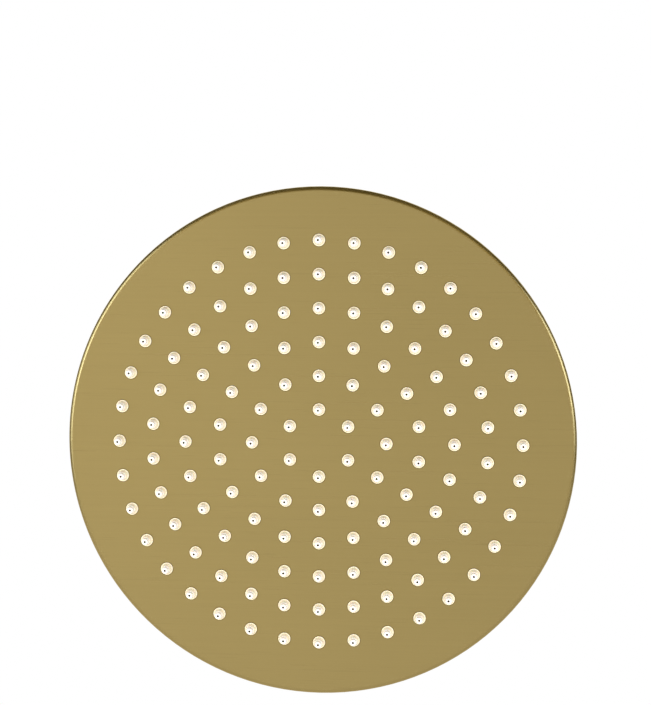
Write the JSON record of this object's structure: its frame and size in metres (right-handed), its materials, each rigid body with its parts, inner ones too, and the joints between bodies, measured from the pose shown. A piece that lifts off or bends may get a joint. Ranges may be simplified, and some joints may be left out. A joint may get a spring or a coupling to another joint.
{
  "type": "round overhead shower head",
  "caption": "Wide flat round shower head with rings of soft nozzles on its face, a ball joint on top and a threaded union nut for the supply arm.",
  "frame": {"origin": "on the head's axis at the top face of the inlet washer, where the end of the supply arm comes to rest", "axes": "+Z along the axis, up through the mouth of the union nut; the nozzles point to -Z; one nozzle of every ring stands on the +Y and -Y side"},
  "size_m": [0.3, 0.3, 0.0654],
  "materials": {
    "face_brass": "brushed, fine straight lines along one direction, satin",
    "plate_brass": "brushed, fine straight lines, satin",
    "brushed_brass": "turned and brushed round the axis, satin",
    "turned_brass": "turned, smooth satin",
    "raw_brass": "turned, unplated",
    "stainless": "plain sheet",
    "black_rubber": "matt",
    "acetal": "moulded, slightly waxy",
    "silicone": "soft, satin, ivory"
  },
  "bodies": {
    "inlet": {"inlet_nut": "brushed_brass"},
    "stem": {"ball_stem": "raw_brass", "stem_seal": "black_rubber", "swivel_ball": "turned_brass", "inlet_washer": "black_rubber", "filter_screen": "stainless", "flow_regulator": "acetal", "regulator_ring": "black_rubber"},
    "seat": {"friction_ring": "acetal", "ball_seat": "acetal", "seat_seal": "black_rubber"},
    "head": {"collar_nut": "brushed_brass", "inlet_stub": "raw_brass", "back_plate": "plate_brass", "face_pan": "face_brass", "stay_pillars": "raw_brass", "deflector_plate": "stainless", "deflector_rivets": "raw_brass", "nozzles_ring_1": "silicone", "nozzles_ring_2": "silicone", "nozzles_ring_3": "silicone", "nozzles_ring_4": "silicone", "nozzles_ring_5": "silicone", "nozzles_ring_6": "silicone"}
  },
  "joints": [
    {"name": "inlet_turn", "type": "hinge", "parent": "inlet", "child": "stem", "pos_m": [0, 0, -0.0197], "axis": [0, 0, 1], "continuous": true},
    {"name": "ball_tilt", "type": "hinge", "parent": "stem", "child": "seat", "pos_m": [0, 0, -0.0197], "axis": [1, 0, 0], "range_deg": [-15, 15]},
    {"name": "head_turn", "type": "hinge", "parent": "seat", "child": "head", "pos_m": [0, 0, -0.0197], "axis": [0, 0, 1], "continuous": true}
  ]
}
